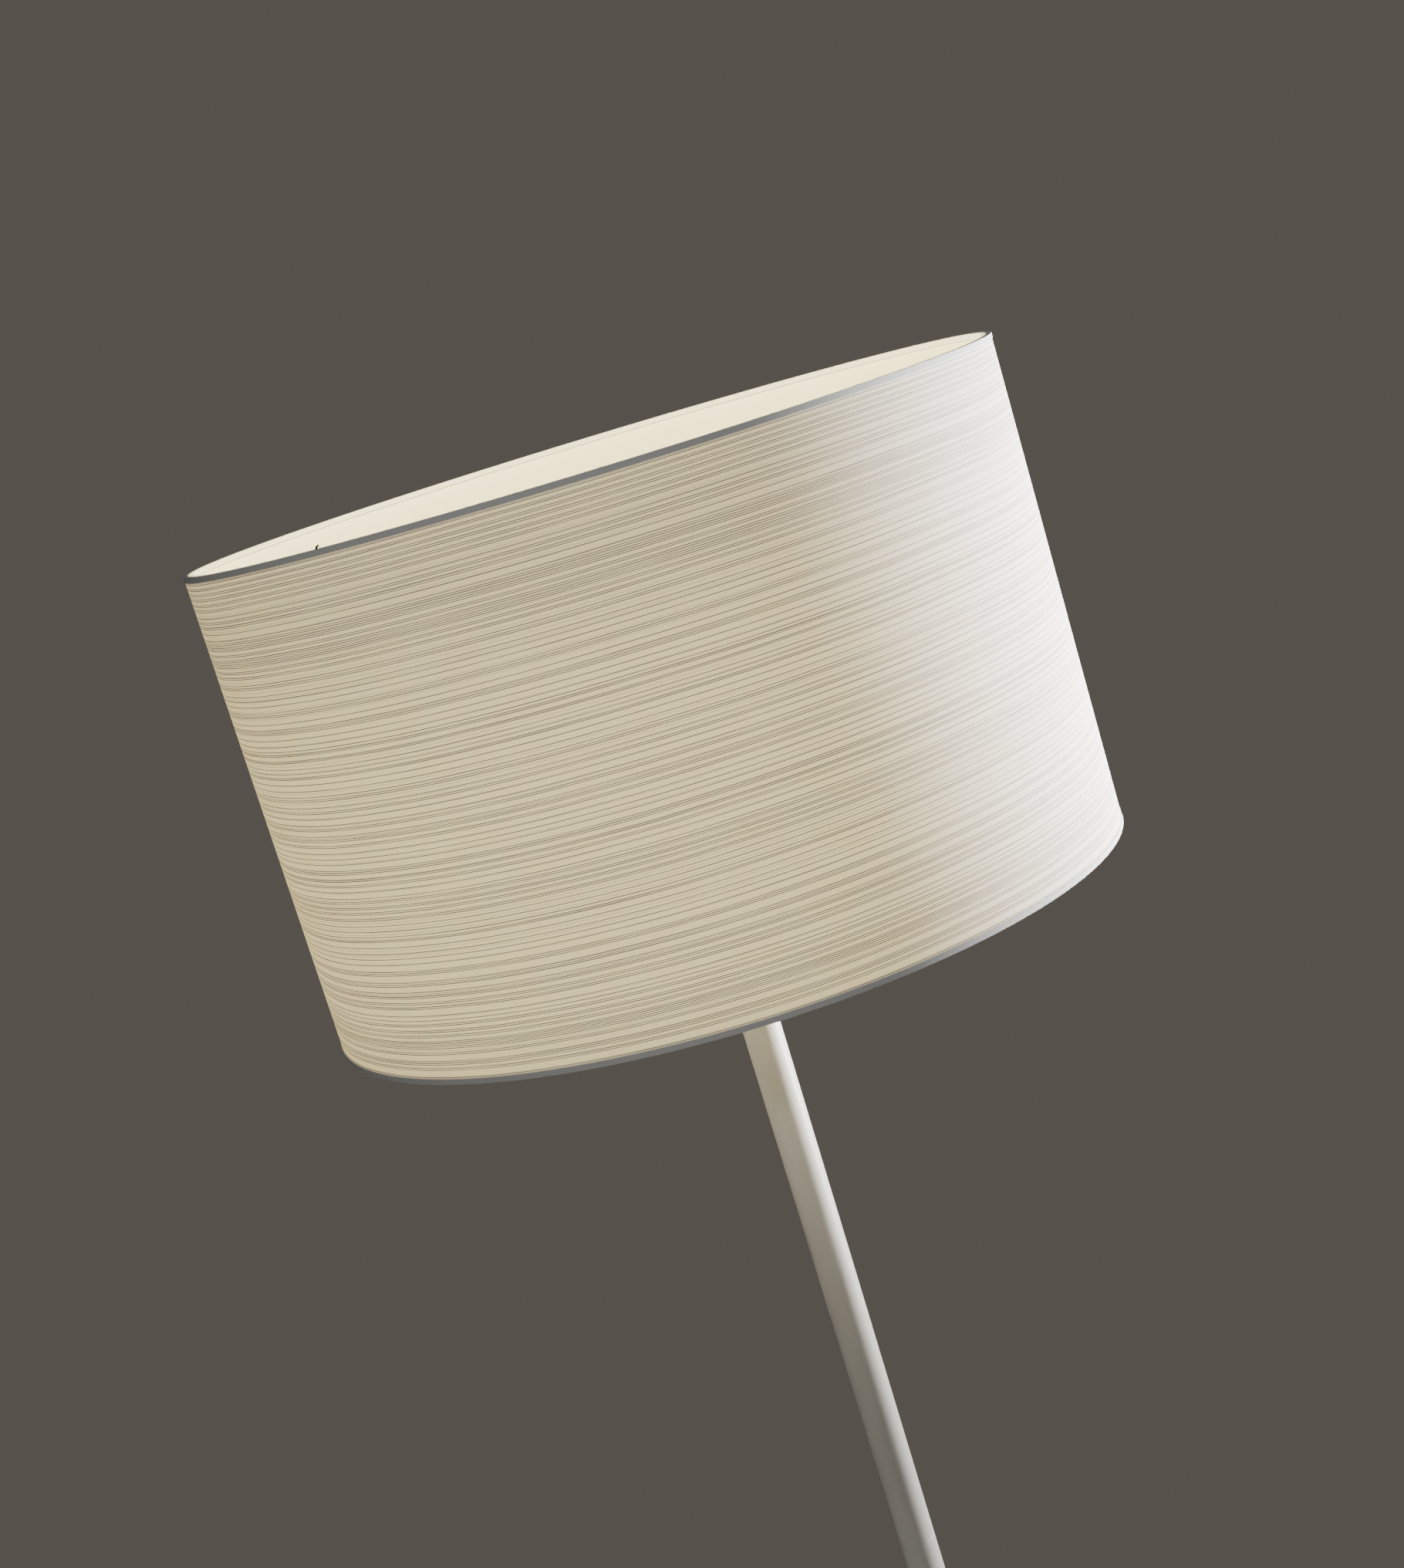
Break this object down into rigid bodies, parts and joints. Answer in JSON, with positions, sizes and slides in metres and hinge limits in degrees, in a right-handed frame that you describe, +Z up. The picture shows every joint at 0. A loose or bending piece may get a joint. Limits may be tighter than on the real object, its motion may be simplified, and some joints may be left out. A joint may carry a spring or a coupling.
{
  "type": "tripod floor lamp",
  "caption": "Floor lamp with a leaning tapered pole, a drum shade square to it and folding front legs on a hub, in white with a lined paper shade.",
  "frame": {"origin": "on the floor, under the middle of the whole lamp's box", "axes": "+Z up; the pole's top leans towards -X and its foot stands on the +X side; the lamp is laid out either side of the XZ plane, with the left front leg on +Y"},
  "size_m": [0.7286, 0.5762, 1.5114],
  "materials": {
    "white_metal": "satin white powder coat, fine orange peel",
    "joint_steel": "zinc-plated steel",
    "bolt_steel": "satin white",
    "nylon": "moulded white nylon",
    "foot_rubber": "matte off-white",
    "grommet": "matte off-white",
    "holder_plastic": "moulded, white",
    "holder_ceramic": "unglazed white",
    "contact_brass": "stamped, bright",
    "switch_plastic": "moulded, white",
    "bulb_opal": "opal, lit",
    "bulb_metal": "plain",
    "bulb_insulator": "black",
    "shade_paper": "matte, textured, fine drawn lines",
    "shade_lining": "smooth warm white",
    "shade_edging": "matte, opaque folded edge",
    "wire_white": "white-painted wire"
  },
  "bodies": {
    "stand": {"bottom_trim": "shade_edging", "bulb_cap": "bulb_metal", "bulb_contact": "contact_brass", "bulb_glass": "bulb_opal", "bulb_insulator": "bulb_insulator", "cover_seam": "shade_paper", "fitter_ring_nut": "nylon", "hub_set_screws": "joint_steel", "lamp_nipple": "joint_steel", "lead_grommet": "grommet", "liner_seam": "shade_lining", "nipple_nut": "joint_steel", "pivot_bolts": "bolt_steel", "pivot_washers": "nylon", "pole_insert": "joint_steel", "pole_stud": "joint_steel", "pole_top_plug": "joint_steel", "rear_foot": "foot_rubber", "rear_leg_insert": "joint_steel", "rear_leg_lower": "white_metal", "rear_leg_stud": "joint_steel", "rear_leg_upper": "white_metal", "shade_cover": "shade_paper", "shade_fitter": "wire_white", "shade_liner": "shade_lining", "shade_top_ring": "wire_white", "socket_body": "holder_ceramic", "socket_cap": "white_metal", "socket_contact": "contact_brass", "socket_screw_shell": "contact_brass", "socket_shell": "holder_plastic", "terminal_screws": "joint_steel", "top_trim": "shade_edging", "tripod_hub": "white_metal", "upper_pole": "white_metal"},
    "left_leg": {"left_leg_upper": "white_metal", "left_leg_lower": "white_metal", "left_leg_insert": "joint_steel", "left_leg_stud": "joint_steel", "left_leg_knuckle": "white_metal", "left_foot": "foot_rubber"},
    "right_leg": {"right_leg_upper": "white_metal", "right_leg_lower": "white_metal", "right_leg_insert": "joint_steel", "right_leg_stud": "joint_steel", "right_leg_knuckle": "white_metal", "right_foot": "foot_rubber"},
    "switch": {"switch_shaft": "contact_brass", "switch_rotor": "switch_plastic", "switch_knob": "switch_plastic"}
  },
  "joints": [
    {"name": "left_leg_fold", "type": "hinge", "parent": "stand", "child": "left_leg", "pos_m": [0.0719, 0.02431, 0.80276], "axis": [-0.4088, -0.9004, -0.1488], "range_deg": [0, 40.98]},
    {"name": "right_leg_fold", "type": "hinge", "parent": "stand", "child": "right_leg", "pos_m": [0.0719, -0.02431, 0.80276], "axis": [0.4088, -0.9004, 0.1488], "range_deg": [0, 40.98]},
    {"name": "switch_turn", "type": "hinge", "parent": "stand", "child": "switch", "pos_m": [-0.09476, 0, 1.2263], "axis": [0.9397, 0, 0.342], "continuous": true}
  ]
}
